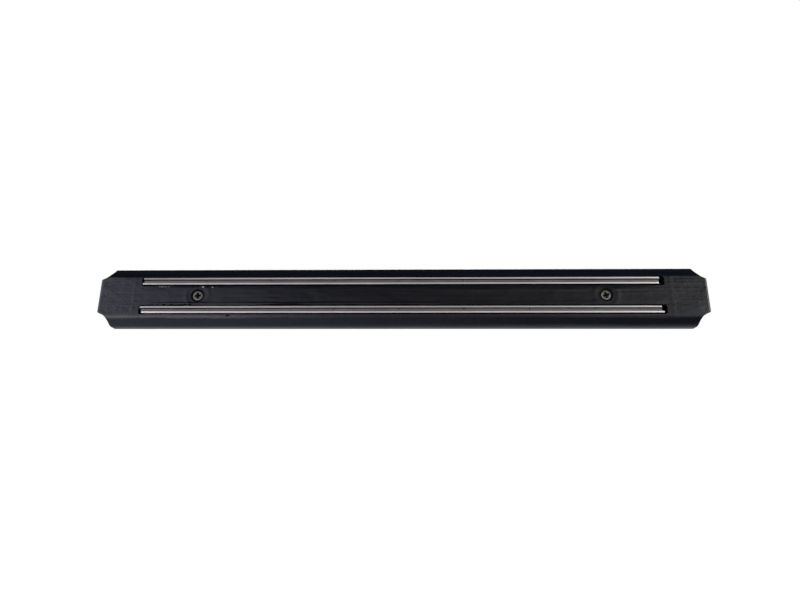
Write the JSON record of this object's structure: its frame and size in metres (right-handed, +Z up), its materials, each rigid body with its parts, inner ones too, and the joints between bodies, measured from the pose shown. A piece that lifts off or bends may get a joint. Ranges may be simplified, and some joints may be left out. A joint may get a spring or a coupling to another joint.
{
  "type": "magnetic knife rack",
  "caption": "Long black moulded wall rack with two slim steel magnetic rails that hold knives by their blades, scooped corners and countersunk wall screws.",
  "frame": {"origin": "middle of the casing's back, on the wall plane, halfway between the two wall screws", "axes": "+X along the rack to the right as seen from the room, +Z up, +Y into the wall, so the front face looks along -Y"},
  "size_m": [0.502, 0.0316, 0.05],
  "materials": {
    "casing": "satin black ABS, lightly scuffed",
    "rail_steel": "bright cut edges, drawn along the length",
    "magnet": "dull sintered ferrite",
    "closer": "matt black ABS",
    "screw": "dull zinc-plated steel"
  },
  "bodies": {
    "root": {"casing": "casing", "upper_rail_top_strip": "rail_steel", "upper_rail_bottom_strip": "rail_steel", "lower_rail_top_strip": "rail_steel", "lower_rail_bottom_strip": "rail_steel", "upper_magnet_1": "magnet", "upper_magnet_2": "magnet", "upper_magnet_3": "magnet", "upper_magnet_4": "magnet", "upper_magnet_5": "magnet", "upper_magnet_6": "magnet", "upper_magnet_7": "magnet", "upper_magnet_8": "magnet", "lower_magnet_1": "magnet", "lower_magnet_2": "magnet", "lower_magnet_3": "magnet", "lower_magnet_4": "magnet", "lower_magnet_5": "magnet", "lower_magnet_6": "magnet", "lower_magnet_7": "magnet", "lower_magnet_8": "magnet", "upper_rail_closer": "closer", "lower_rail_closer": "closer", "wall_screws": "screw"}
  },
  "joints": []
}
